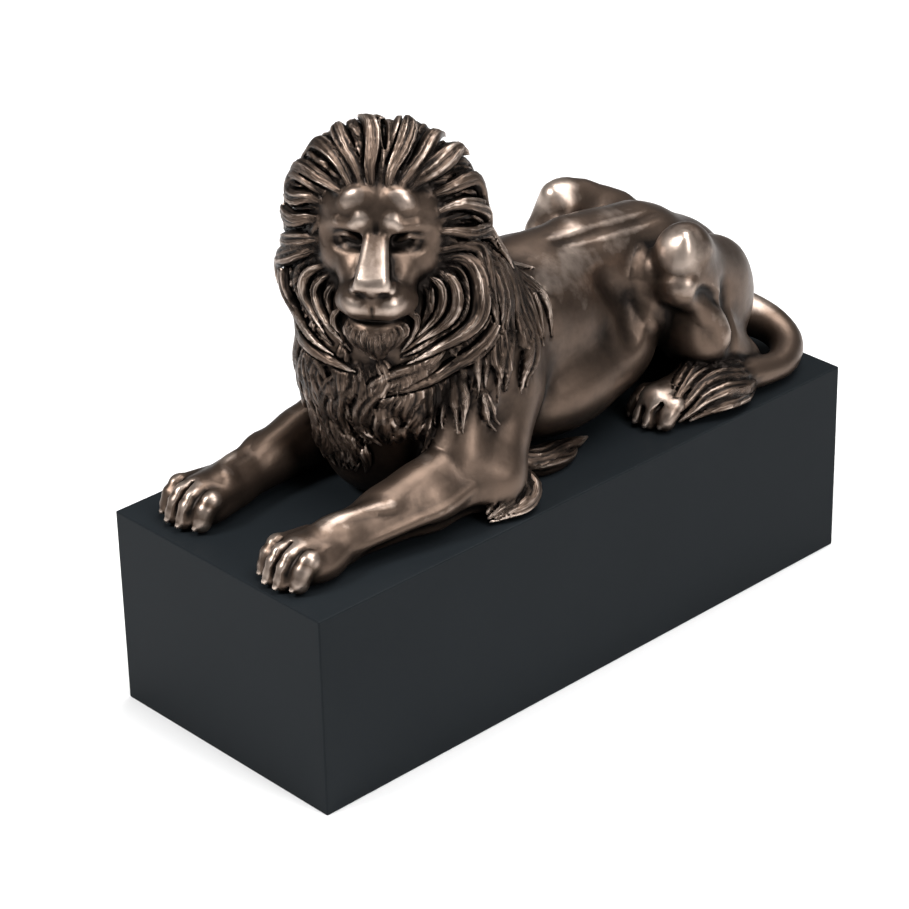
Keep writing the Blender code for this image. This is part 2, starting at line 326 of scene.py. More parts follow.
# Hind legs
for side, knee, shin in (
    (1, (31, 68, 60, 9.5), (35, 62, 51, 8)),
    (-1, (-33, 70.5, 57.5, 8.2), (-35, 63, 49, 7.5)),
):
    clay.ball((side * 25, 86, 32), (13, 23, 26))
    clay.limb((side * 23, 89, 42, 13), knee, shin)
    clay.ball((side * 21, 60, 44), (9, 9, 15), soft=6)
    clay.limb((side * 33, 71, 48, 9), (side * 34, 76, 26, 10), (side * 35, 92, 12, 8))
    clay.limb((side * 36, 95, 8, 7), (side * 36, 72, 8, 8), (side * 35.5, 51, 6.5, 8.3))
clay.ball((31, 68, 60), (8, 10.5, 11.5), (10, 0, 0), soft=3)
clay.ball((-33, 69.5, 57.5), (7.8, 7.6, 11), (-38, 0, 0), soft=3)
clay.limb((-33, 71, 60, 6), (-29, 84, 52.5, 8), (-25, 96, 44.5, 9), soft=5)

# Forelegs
for side, elbow, middle, wrist, paw in (
    (1, (37, -35, 12), (32, -62, 11.5, 11), (28.5, -100, 8.5), (27, -114, 7.5)),
    (-1, (-35, -35, 11), (-31, -62, 10.5, 10), (-28.5, -98, 8), (-28.5, -111, 7.5)),
):
    clay.ball((side * 24, -22, 38), (14, 22, 28), (0, side * 6, 0))
    clay.limb((side * 24, -36, 38, 13), (side * 30, -44, 20, 12), (*elbow, 11))
    clay.limb((side * 26, -18, 34, 13), (*elbow, 11))
    clay.limb((*elbow, 10), middle, (*wrist, 8), (*paw, 7.5))
    clay.ball((paw[0], paw[1] + 0.5, 6.2), (11.4, 12, 7.4))

# Tail
clay.limb(
    *spline(
        (
            (3, 102, 19, 10.5), (13, 115, 15.5, 8.4), (25, 121.5, 11.5, 6.8), (35.5, 120, 7.8, 6),
            (42.5, 111, 6.2, 5.4), (44.5, 101, 6.6, 5), (43, 88, 8.5, 6), (40, 76, 10, 6), (39, 67, 10, 5),
        ),
        3,
    ),
    soft=1.5,
)

# Spine, the folds of skin along it and the one from flank to thigh
clay.limb((0, 2, 66, 7), (0, 40, 65, 7.5), (0, 74, 60, 7.5), soft=4)
for side in (-1, 1):
    welt(2.0, -0.1, (side * 5, 24, 71), (side * 7, 48, 70), (side * 6, 78, 66), soft=0.8)
    welt(2.0, -0.12, (side * 10, 32, 69), (side * 12.5, 54, 67), (side * 11, 78, 64), soft=0.8)
    crease(3, -0.3, (side * 8, 26, 71), (side * 10, 50, 69), (side * 8.5, 78, 66), soft=1.2)
    welt(
        1.8, -0.2, (side * 17, 62, 61), (side * 20, 57, 56), (side * 23, 53, 50), (side * 26, 52, 42),
        (side * 27, 56, 33), soft=2,
    )
    crease(5, -0.5, (side * 24, 38, 58), (side * 28, 45, 46), (side * 28, 43, 34), soft=5)

# Knees, shins and thighs
clay.ball((35, 62.4, 61.5), (4.8, 4.4, 10), (-12, 0, 0), soft=1.8)
clay.limb((-33.2, 66, 64.2, 3.8), (-30.5, 79, 60.8, 4.2), (-25, 92, 53.6, 5), soft=4.5)
clay.ball((-36.2, 64, 54), (4.4, 4.0, 8.4), (-38, 0, 0), soft=2)
for side in (-1, 1):
    crease(3, 1.6, (side * 41, 64, 50), (side * 42, 69, 45.5), (side * 43, 76, 40), soft=3)
    crease(
        2.6, 1.4, (side * 40, 81, 46), (side * 42, 82, 38), (side * 44, 81.5, 28), (side * 45, 79.5, 20),
        soft=3,
    )
    welt(3, 0.4, (side * 36, 66, 46), (side * 42, 72, 38), (side * 43, 76, 27), soft=3)

# Forearms: the muscle below the elbow, its ridge and the tendons to the wrist
for side, reach in ((1, 0), (-1, 2)):
    welt(6, 1.2, (side * 32, -52, 20), (side * 31, -68, 20), (side * 29, -84, 16), soft=3)
    welt(2.5, 0.9, (side * 34, -78, 16), (side * 31, -90, 15), (side * 28, -104, 15), soft=1.5)
    welt(2.5, 0.9, (side * 40, -50, 14), (side * 39, -70, 11), (side * 36, -96, 8), soft=1.5)
    crease(2.5, 0.9, (side * 41, -46, 8), (side * 40, -68, 6), (side * 36, -94, 4), soft=2)
    clay.ball((side * (29 - reach * 2), -106 + reach, 13), (4.6, 5, 4.6), soft=2.5)
    clay.ball((side * (35.5 - reach), -109 + reach, 6), (3.6, 7, 5), soft=3)

# Paws: four toes each, with knuckles and the tips of the claws
for middle, spread, front, stretch in (
    (26.6, 5.5, -128.6, 1), (-29, 5.9, -125, 1), (35, 5.0, 40.5, 0.8), (-36, 5.0, 40.5, 0.8),
):
    for toe in range(4):
        offset = toe - 1.5
        x = middle + offset * spread
        tip = front + 1.9 * abs(offset) ** 1.4
        back = middle + offset * spread * 0.75
        clay.limb(
            (back, tip + 20 * stretch, 10.2 * stretch, 3.2), (x, tip + 8.5, 10.2 * stretch, 3.3),
            (x, tip + 5, 7.8 * stretch, 3.3), (x, tip + 3.5, 4.4, 3.5), soft=1.2,
        )
        clay.ball((x, tip + 7.8, 11.9 * stretch), (2.5, 3.4, 1.9), soft=1.2)
        clay.ball((x, tip + 3.3, 3.4), (3.1, 3.3, 3.3), soft=0.8)
        clay.ball((x, tip + 0.1, 2.7), (1.15, 1.2, 1.25), soft=0.3)
    for gap in (-1, 0, 1):
        x = middle + gap * spread
        clay.limb(
            (x, front + 11, 14.0 * stretch, 0.6), (x, front + 7, 12.2 * stretch, 0.9),
            (x, front + 3.2, 7.5, 0.9), (x, front + 1.4, 3, 0.8), soft=1.4, carve=True,
        )


# Head
# Skull, brows, eyes, the broad flat nose, the muzzle's two pads and the chin, placed from the head's own
# middle and turned with it. It is the same clay as the body and is cast in one with it.


def skull(centre, radii, turn=(0, 0, 0), soft=3, carve=False):
    """A ball of the head, in the head's own side, forward and up."""
    own = np.array(Euler([math.radians(a) for a in turn]).to_matrix())
    clay.ball(head_point(*centre), radii, HEAD_TURN @ own, soft, carve)


def ridge(*joints, soft=2, carve=False):
    """A limb of the head: each joint is side, forward, up and radius."""
    clay.limb(*((*head_point(*joint[:3]), joint[3]) for joint in joints), soft=soft, carve=carve)


skull((0, -4, 2), (20, 20, 22), soft=5)
skull((0, 4, 9), (18, 8.6, 12.5), soft=5)
skull((0, 12, -12), (11, 13, 8), soft=5)
skull((0, 17, -24), (8.5, 9, 7), soft=4)
for side in (-1, 1):
    skull((side * 13, 5, -6), (7, 7, 8), soft=4)
    ridge(
        (side * 2.8, 13.0, 8.6, 1.6), (side * 7, 12.8, 9.4, 1.9), (side * 13, 10.0, 8.8, 1.6),
        (side * 18.4, 5, 4.6, 1.6), soft=2,
    )
    skull((side * 11, 14.6, 2.4), (6.8, 7.6, 4.0), (0, side * 6, 0), soft=2, carve=True)
    skull((side * 6.4, 14, 3.0), (3, 4.8, 3.4), soft=1.5, carve=True)
    skull((side * 10.8, 5.8, 2.2), (4.7, 4.6, 4.3), soft=0.8)
    skull((side * 10.6, 10.2, 2.4), (1.7, 0.9, 1.7), soft=0.4, carve=True)
    ridge((side * 5.6, 9.8, 1.6, 0.9), (side * 10.6, 11.0, 5.0, 1.3), (side * 16.0, 7.2, 2.6, 1.1), soft=0.5)
    ridge((side * 5.8, 9.8, 0.8, 0.8), (side * 10.8, 10.3, -1.0, 1.1), (side * 15.4, 7.4, 1.2, 0.9), soft=0.7)
    ridge((side * 6.6, 11.4, 7.4, 0.9), (side * 11, 11.6, 8.0, 1.0), (side * 15.4, 8.4, 6.2, 0.9), soft=0.8)
    skull((side * 4.9, 12.4, 11.6), (3.0, 2.9, 2.7), (0, side * -22, 0), soft=1.8)
    skull((side * 7.4, 8.8, 16.8), (5.6, 3.3, 4.2), (0, side * 30, 0), soft=3)
    skull((side * 18.2, 3.6, 1.0), (2.2, 3.6, 5.0), soft=2.5)
    skull((side * 11.4, 10.0, -2.8), (3.6, 2.6, 1.4), soft=1)
    ridge((side * 1.9, 12.4, 7.4, 2.0), (side * 3.5, 28.4, -3.2, 2.3), soft=1.5)
    skull((side * 7.5, 12, -8), (6, 7.2, 6.6), soft=4)
    skull((side * 5.4, 22.8, -13.6), (6.4, 8.0, 6.0), (0, side * 14, side * -8), soft=1.5)
    skull((side * 8.8, 18.4, -16.6), (5.2, 6.6, 3.8), (0, side * 8, side * -14), soft=2)
    skull((side * 4.3, 27.8, -5.2), (1.9, 3.2, 1.8), soft=1.2)
    skull((side * 6.0, 25.6, -7.4), (1.7, 3.6, 1.4), soft=2)
ridge((0, 12.0, 6.8, 2.4), (0, 28.4, -3.8, 3.0), soft=2)
ridge((0, 12, 2, 3.6), (0, 20, -3.5, 4.4), (0, 23, -7, 4.8), soft=2)
skull((0, 28.4, -5.2), (5.2, 3.6, 2.6), soft=2)
skull((0, 28.9, -7.2), (2.8, 2.8, 1.9), soft=1)
skull((0, 16.5, -14.2), (12.4, 14.4, 6.6), soft=3)
skull((0, 22.6, -12.6), (6.4, 7.6, 7.0), soft=2)
skull((0, 25.8, -11.2), (4.6, 4.2, 4.0), soft=2)
skull((0, 21.2, -22.2), (9.2, 8.2, 2.8), soft=1.2)
skull((0, 20, -26), (8.6, 7.4, 5.6), soft=2)
skull((0.4, 19.4, -30), (5.4, 5.6, 4.4), soft=2)
for side in (-1, 1):
    skull((side * 3.6, 31.6, -7.9), (1.4, 1.8, 0.9), (0, side * 30, 0), soft=0.5, carve=True)
    ridge(
        (0, 30.4, -19.6, 0.55), (side * 5, 28.8, -20.0, 0.55), (side * 10, 23.4, -20.6, 0.55),
        (side * 13.5, 18.6, -19.6, 0.5), soft=0.5, carve=True,
    )
ridge(
    (0, 31.8, -9.2, 0.6), (0, 31.2, -13, 0.7), (0, 30.9, -16.5, 0.6), (0, 30.2, -20, 0.6),
    soft=0.9, carve=True,
)
ridge((0, 14.0, 20.5, 0.5), (0, 15.4, 14, 0.6), (0, 16.0, 8.5, 0.5), soft=1.6, carve=True)

# Mane masses, a lock's thickness inside the mane's outline
MANE = (
    (head_point(0, -11, -2), (32.5, 19, 36.5), HEAD_TURN),
    (head_point(0, -9, -22), (33.5, 19, 25), HEAD_TURN),
    (np.array((-2, -49, 50)), (28.5, 27.5, 40), np.eye(3)),
    (np.array((4, -28, 66)), (29.5, 25, 31), np.eye(3)),
    (np.array((-3, -50, 22)), (21, 22, 24), np.eye(3)),
)
for centre, radii, turn in MANE:
    clay.ball(centre, radii, turn)
plain = clay.field.copy()


# Hair
# Thick wavy locks laid over the mane like shingles, each a flat rope of a few strands that ends in a point.
# They are pressed into the clay and cast with it, so nothing here hangs loose.

HAIR_SEED = 11
chance = random.Random(HAIR_SEED)


class Lock:
    """One lock: points on the clay with the way it faces, its half width and half thickness."""

    def __init__(self, points, normals, widths, heights, strands):
        self.points, self.normals = np.array(points), np.array(normals)
        self.widths, self.heights, self.strands = np.array(widths), np.array(heights), strands
        ways = np.gradient(self.points, axis=0)
        ways /= np.linalg.norm(ways, axis=1, keepdims=True) + 1e-9
        self.sides = np.cross(ways, self.normals)
        self.sides /= np.linalg.norm(self.sides, axis=1, keepdims=True) + 1e-9

    def lay(self, clay, gap, depth):
        """Carves a thin gap round the lock, wider to its tip, then lays it in, strand by strand."""
        wide = self.widths.max() + gap + 1
        cut, x, y, z = clay.area(self.points.min(0), self.points.max(0), wide)
        start = [part.start for part in cut]
        best = np.full([part.stop - part.start for part in cut], 9, np.float32)
        moat, across, along = best.copy(), np.zeros_like(best), np.zeros_like(best)
        count = len(self.points) - 1
        for k in range(count):
            a, b = self.points[k], self.points[k + 1]
            near, u, v, w = clay.area(np.minimum(a, b), np.maximum(a, b), wide)
            inner = tuple(slice(part.start - s, part.stop - s) for part, s in zip(near, start))
            distance, aside, share = self.stretch(k, u, v, w)
            closer = distance < best[inner]
            best[inner] = np.where(closer, distance, best[inner])
            across[inner] = np.where(closer, aside, across[inner])
            along[inner] = np.where(closer, k + share, along[inner])
            fade = min(k / count / 0.25, 1)
            moat[inner] = np.minimum(moat[inner], distance - gap * (2 * fade - 1))
        here = clay.field[cut]
        carved = np.minimum(np.maximum(here, -moat), here + depth)
        clay.field[cut] = np.minimum(carved, best)
        own = (best <= carved) & (best < 2)
        clay.across[cut][own] = across[own]
        clay.along[cut][own] = along[own]
        # A number of the lock's own, so that no two share the pattern of their finest strands
        clay.tone[cut][own] = 1 + np.abs(self.points[0]).sum() * 3.7 % 50
        for k in range(self.strands):
            self.strand(clay, 2 * (k + 0.5) / self.strands - 1)

    def strand(self, clay, across):
        """One round strand along the lock's back, across from -1 at one edge to 1 at the other."""
        count = max(int(len(self.points) * chance.uniform(0.84, 1.0)), 4)
        share = np.linspace(0, 1, count)
        drift = across * 0.84 + 0.16 * np.sin(share * 5 + chance.uniform(0, 6))
        drift = np.clip(drift, -1, 1)
        arch = np.sqrt(np.maximum(1 - drift ** 2, 0.1))
        radii = self.widths[:count] / self.strands * chance.uniform(0.8, 1.3) + 0.06
        radii = np.maximum(radii * np.clip((1.04 - share) / 0.35, 0, 1) ** 0.5, 0.3)
        high = self.heights[:count] * arch + 0.1 * radii + chance.uniform(-0.3, 0.3)
        points = self.points[:count] + self.sides[:count] * (self.widths[:count] * drift)[:, None]
        points = points + self.normals[:count] * high[:, None]
        clay.limb(*((*point, radius) for point, radius in zip(points, radii)), soft=0.2)

    def parted(self):
        """The lock split down its length into two thinner ones of unequal length."""
        parts = []
        for side in (-1, 1):
            count = max(int(len(self.points) * chance.uniform(0.8, 1.0)), 4)
            share = np.linspace(0, 1, count)
            aside = side * (0.5 * self.widths[:count] + share ** 2 * chance.uniform(0.2, 1.2))
            widths = np.maximum(0.62 * self.widths[:count] * np.clip((1 - share) / 0.4, 0, 1) ** 0.5, 0.4)
            points = self.points[:count] + self.sides[:count] * aside[:, None]
            strands = max(self.strands // 2, 1)
            parts.append(Lock(points, self.normals[:count], widths, self.heights[:count], strands))
        return parts

    def stretch(self, k, x, y, z):
        """Distance to the lock between two of its points, and the place across and along it."""
        a, way = self.points[k], self.points[k + 1] - self.points[k]
        length = max(np.linalg.norm(way), 1e-6)
        x, y, z = x - a[0], y - a[1], z - a[2]
        share = np.clip((x * way[0] + y * way[1] + z * way[2]) / length ** 2, 0, 1)
        x, y, z = x - share * way[0], y - share * way[1], z - share * way[2]
        along = (x * way[0] + y * way[1] + z * way[2]) / length
        face, side = self.normals[k], self.sides[k]
        face_turn, side_turn = self.normals[k + 1] - face, self.sides[k + 1] - side
        across = sum(c * (side[i] + share * side_turn[i]) for i, c in enumerate((x, y, z)))
        above = sum(c * (face[i] + share * face_turn[i]) for i, c in enumerate((x, y, z)))
        width = self.widths[k] + share * (self.widths[k + 1] - self.widths[k])
        height = self.heights[k] + share * (self.heights[k + 1] - self.heights[k])
        near = np.sqrt((across / width) ** 2 + (above / height) ** 2 + (along / width) ** 2)
        slope = np.sqrt((across / width ** 2) ** 2 + (above / height ** 2) ** 2 + (along / width ** 2) ** 2)
        return near * (near - 1) / (slope + 1e-6), across / width, share


def grown(points, normals, width, height, rise, strands, layer=0.35):
    """A lock along a path: narrow at its root, fullest past the middle, pointed and lifting at its tip."""
    share = np.linspace(0, 1, len(points))
    fullness = 0.36 + 0.64 * np.sin(np.clip(share / 0.5, 0, 1) * math.pi / 2)
    fullness = fullness * np.clip((1 - share) / 0.5, 0.0, 1) ** 0.7
    widths = np.maximum(width * LOCK_WIDTH * fullness, 0.4)
    heights = np.maximum(height * LOCK_HEIGHT * np.clip(fullness * 1.15, 0, 1), 0.4)
    rooted = np.clip(1 - share / 0.25, 0, 1) ** 2
    lift = layer * height - (0.8 + layer) * height * rooted + 0.8 * rise * share ** 1.6
    return Lock(points + normals * lift[:, None], normals, widths, heights, strands)


LOCK_WIDTH = 1.08
LOCK_HEIGHT = 0.62


def settled(points):
    """A path pulled smooth, with the way the plain clay under it faces."""
    for _ in range(2):
        points[1:-1] = (points[:-2] + 2 * points[1:-1] + points[2:]) / 4
    normals = clay.normal(points, plain, 2.5)
    for _ in range(2):
        normals[1:-1] = (normals[:-2] + 2 * normals[1:-1] + normals[2:]) / 4
    return points, normals / np.linalg.norm(normals, axis=1, keepdims=True)


def first_met(rays, depths, course):
    """How deep rays first meet the plain clay, or pass closest to it, never falling back too fast."""
    shape = rays.shape
    field = clay.read(rays.reshape(-1, 3), plain).reshape(shape[:2])
    met = field < 0
    found = depths[np.where(met.any(1), met.argmax(1), field.argmin(1))]
    steps = np.linalg.norm(np.diff(course, axis=0), axis=1)
    for k, step in enumerate(steps, 1):
        found[k] = max(found[k], found[k - 1] - FALL * step)
    return found


def on_clay(place, depths, course, scale=(1, 1)):
    """Where a drawn course meets the plain clay. place makes a point of a depth and the course's two."""
    rays = np.array([[place(depth, *spot) for depth in depths] for spot in course])
    found = first_met(rays, depths, course * scale)
    return clay.onto(np.array([place(depth, *spot) for spot, depth in zip(course, found)]), plain)


FALL = 1.3
FORWARD = np.arange(45, -22, -0.5)
OUTWARD = np.arange(60, 4, -0.5)
NECK_AXIS = (0, -42)


def round_neck(angle, distance, up):
    """A point round the neck: degrees from the front, lion's left positive, and distance from its axis."""
    turn = math.radians(angle)
    return NECK_AXIS[0] + distance * math.sin(turn), NECK_AXIS[1] - distance * math.cos(turn), up


def face_lock(width, height, rise, strands, *knots, layer=0.35, over=0):
    """A lock drawn on the head from its front: knots are side and up. over takes it on round the back."""
    course = spline(knots, 2)
    if over:
        share = np.linspace(0, 1, len(course))[:, None]
        ways = np.gradient(course, axis=0)[:, ::-1] * (-1, 1)
        ways /= np.linalg.norm(ways, axis=1, keepdims=True)
        course = course + ways * np.sin(share * 5.5 + chance.uniform(0, 6)) * np.minimum(share * 3, 1) * 1.4
    points = on_clay(lambda forward, side, up: head_point(side, forward, up), FORWARD, course)
    if over:
        bend = chance.uniform(-2, 2)
        beyond, _ = walk(points[-1], points[-1] - points[-4], over, lambda share: bend)
        points = np.vstack((points, beyond[1:]))
    return grown(*settled(points), width, height, rise, strands, layer)


NECK_RELIEF = 0.7


def neck_lock(width, height, rise, strands, *knots, layer=0.1):
    """A low lock drawn round the neck: knots are degrees from the front, lion's left positive, and height."""
    course = spline([(angle * 0.5, up) for angle, up in knots], 2) * (2, 1)
    points = on_clay(lambda distance, angle, up: round_neck(angle, distance, up), OUTWARD, course, (0.5, 1))
    low = NECK_RELIEF
    return grown(*settled(points), width, height * low, rise * low * 0.6, strands, layer)


def flank_lock(side, width, height, strands, *knots):
    """A low lock drawn on the lion's flank: knots are how far back and how high."""
    course = spline(knots, 2)
    points = on_clay(lambda out, back, up: (side * out, back, up), OUTWARD, course)
    return grown(*settled(points), width, height, 0.3, strands, -0.15)


def walk(start, heading, length, turning, step=2.2):
    """A path over the plain clay. turning gives the bend in degrees a millimetre along its share."""
    count = max(int(round(length / step)), 4)
    point = clay.onto(np.array([start]), plain)
    heading = np.array(heading, float)
    points, normals = [], []
    for k in range(count + 1):
        normal = clay.normal(point, plain)[0]
        points.append(point[0])
        normals.append(normal)
        heading = heading - normal * heading.dot(normal)
        heading /= np.linalg.norm(heading) + 1e-9
        bend = math.radians(turning(k / count)) * step
        heading = heading * math.cos(bend) + np.cross(normal, heading) * math.sin(bend)
        point = clay.onto(point + heading * step, plain, 1)
    return np.array(points), np.array(normals)


HAIR_ROOT = head_point(0, 14, 4)
MANE_HEM = 23
COVER_SPACING = 5.6


def covering():
    """Locks all over the mane that stream away from the face and down, the furthest laid first."""
    starts = []
    for centre, radii, turn in MANE:
        for _ in range(900):
            way = np.array([chance.gauss(0, 1) for _ in range(3)])
            starts.append(centre + turn @ (way / np.linalg.norm(way) * radii))
    starts = clay.onto(np.array(starts), plain, 1)
    near = np.abs(clay.read(starts, plain)) < 1
    own = (starts - HEAD_CENTRE) @ HEAD_TURN
    face = (own[:, 1] < 6) & (np.abs(own[:, 0]) < 21) & (own[:, 2] > -36) & (own[:, 2] < 22)
    throat = (own[:, 1] < -4) & (np.abs(own[:, 0] - 2) < 13) & (own[:, 2] > -50) & (own[:, 2] < -20)
    hem = MANE_HEM + np.clip(starts[:, 1] + 34, 0, 50) * 2.0 + np.clip(np.abs(starts[:, 0]) - 20, 0, 20) * 0.6
    turn = np.degrees(np.arctan2(starts[:, 0] - NECK_AXIS[0], NECK_AXIS[1] - starts[:, 1]))
    drawn = (turn > 92) & (turn < 140) & (starts[:, 2] > 44) & (starts[:, 2] < 92)
    drawn |= (turn > -54) & (turn < 66) & (starts[:, 2] < 56)
    kept = []
    for start in starts[near & ~face & ~throat & ~drawn & (starts[:, 2] > hem)]:
        if all(np.linalg.norm(start - other) > COVER_SPACING for other in kept):
            kept.append(start)
    kept.sort(key=lambda start: -np.linalg.norm(start - HAIR_ROOT))
    locks = []
    for start in kept:
        out = start - HAIR_ROOT
        reach = np.linalg.norm(out)
        heading = out / reach - np.array((0, 0, min(reach / 50, 1.2)))
        sway = chance.uniform(-5, 5)
        low = start[2] < 62
        length = min(chance.uniform(16, 23), start[2] - 8) if low else chance.uniform(18, 27)
        path = walk(start - heading * 4, heading, length, lambda share: sway * math.cos(share * 5))
        width = chance.uniform(2.4, 3.2) if low else chance.uniform(2.6, 3.5)
        height, rise = (1.7, 0.3) if low else (2.1, 1.0)
        locks.append(grown(*path, width, height, rise, chance.choice((3, 4)), -0.1))
    return locks


cover = covering()


def chest_cover():
    """Wavy locks scattered over the chest, the lowest laid first."""
    kept = []
    for _ in range(700):
        angle, top = chance.uniform(-40, 60), chance.uniform(26, 64)
        floor = 15 if -30 < angle < 20 else 28
        clear = all(math.hypot((angle - a) * 0.45, top - t) > 5.0 for a, t, _ in kept)
        if clear and top - floor > 9:
            kept.append((angle, top, floor))
    kept.sort(key=lambda spot: spot[1])
    locks = []
    for angle, top, floor in kept:
        bend = 5.5 * math.sin(angle / 15 + top / 12) + chance.uniform(-1.5, 1.5)
        drop = min(chance.uniform(20, 30), top - floor)
        waves = ((0, 0), (0.35, 1), (0.7, -0.4), (1, 0.6))
        knots = [(angle + bend * wave, top - drop * share) for share, wave in waves]
        lock = neck_lock(chance.uniform(2.8, 3.6), 3.0, 0.8, 4, *knots, layer=0.2)
        steps = np.linalg.norm(np.diff(lock.points, axis=0), axis=1)
        if steps.max() < 4.5 and clay.read(lock.points, plain).max() < 3:
            locks.append(lock)
    return locks


# Chest, the lion's right side of it. A row is width, height, rise, strands and then the knots
chest = [neck_lock(*row) for row in (
    (2.6, 2, 1.4, 3, (-40, 66), (-44, 56), (-38, 46), (-42, 38)),
    (2.4, 2, 1.4, 3, (-28, 64), (-34, 54), (-30, 44), (-34, 37)),
    (2.2, 1.8, 1.2, 3, (-18, 60), (-24, 51), (-22, 43), (-18, 36)),
    (2.6, 2, 1.4, 4, (-13, 59), (-17, 50), (-15, 43), (-17, 36)),
    (2.4, 2, 1.2, 3, (6, 54), (8, 46), (3, 40), (4, 33)),
    (2.6, 2, 1.4, 3, (3, 60), (11, 52), (10, 45), (12, 36)),
    (3, 2.4, 1.4, 4, (-18, 70), (-11, 57), (0, 47), (-9, 36)),
)]
chest += [
    neck_lock(2.4, 1.8, 0.8, 3, (angle, 60), (angle + 3, 52), (angle - 2, 44), (angle + 1, 36))
    for angle in (14, 20, 26, 32)
]
# Chest, the lion's left side of it, where long locks sweep in from under the cheek and hang
chest += [neck_lock(*row) for row in (
    (3.4, 2.6, 0.8, 4, (146, 84), (142, 72), (138, 60), (136, 48)),
    (3.4, 2.6, 0.8, 4, (139, 88), (136, 76), (133, 64), (130, 52), (130, 44)),
    (3.2, 2.6, 0.8, 4, (116, 70), (112, 62), (110, 54), (110, 46), (107, 39)),
    (3.2, 2.6, 0.8, 4, (131, 70), (127, 60), (125, 52), (121, 44)),
    (3.2, 2.6, 0.8, 4, (106, 68), (102, 60), (101, 52), (97, 46)),
    (3.2, 2.8, 0.8, 4, (113, 86), (108, 78), (103, 70), (100, 62), (99, 54)),
    (3.2, 2.8, 0.8, 4, (120, 90), (115, 80), (110, 71), (107, 63), (106, 55)),
    (3.2, 2.8, 0.8, 4, (134, 94), (130, 82), (126, 72), (124, 63), (121, 54)),
    (3, 2.8, 1, 4, (127, 92), (123, 81), (118, 71), (115, 63), (116, 55)),
    (2.6, 2, 1.4, 3, (135, 62), (126, 53), (120, 45), (117, 36)),
    (2.6, 2, 1.4, 3, (122, 63), (112, 55), (109, 47), (105, 37)),
    (2.4, 2, 1.6, 3, (98, 46), (97, 40), (98, 35), (103, 29)),
    (2.4, 2, 1.4, 3, (112, 66), (103, 58), (100, 50), (94, 41)),
    (2.6, 2, 1.4, 3, (98, 62), (91, 55), (88, 46), (84, 39)),
    (2.6, 2, 1.4, 3, (90, 54), (87, 47), (84, 40), (79, 31)),
    (3, 2.2, 1.4, 4, (84, 58), (79, 49), (74, 41), (71, 31)),
    (2.4, 2, 1.4, 3, (68, 54), (62, 45), (65, 37), (60, 29)),
    (1.9, 1.8, 1.2, 2, (54, 48), (49, 43), (52, 38), (48, 34)),
    (2.3, 2, 1.2, 3, (76, 56), (60, 51), (48, 46), (44, 38)),
)]
# Locks that sweep in over these, each with the layer it lies at first
sweep = [neck_lock(*row, layer=layer) for layer, *row in (
    (0.2, 3, 2.8, 1, 4, (86, 62), (74, 56), (57, 53), (43, 50), (36, 44), (37, 37), (41, 32)),
    (0.3, 3.2, 3, 1, 4, (92, 70), (78, 62), (59, 57), (41, 55), (29, 51), (22, 43), (23, 36), (29, 30)),
    (0.3, 3.2, 2.8, 0.8, 4, (20, 57), (9, 53), (1, 46), (-2, 38), (1, 31), (6, 25)),
    (0.4, 3.2, 2.8, 0.8, 4, (33, 55), (20, 52), (11, 46), (8, 38), (12, 31), (18, 27)),
    (0.5, 3.4, 3, 0.8, 4, (50, 55), (36, 52), (25, 46), (21, 38), (25, 32), (32, 28)),
)]
# Fine strands from the nape down over each shoulder
for side in (-1, 1):
    sweep += [
        flank_lock(side, 1.5, 1.5, 2, (-18, 78), (-14, 68), (-14, 58), (-16, 48)),
        flank_lock(side, 1.5, 1.5, 2, (-12, 77), (-8.5, 69), (-8.5, 60), (-10, 50)),
        flank_lock(side, 1.4, 1.5, 2, (-7, 76), (-3, 69), (-2.5, 61), (-3.5, 52)),
        flank_lock(side, 1.4, 1.5, 2, (-3, 74), (1.5, 67), (2.5, 59), (2, 50)),
    ]
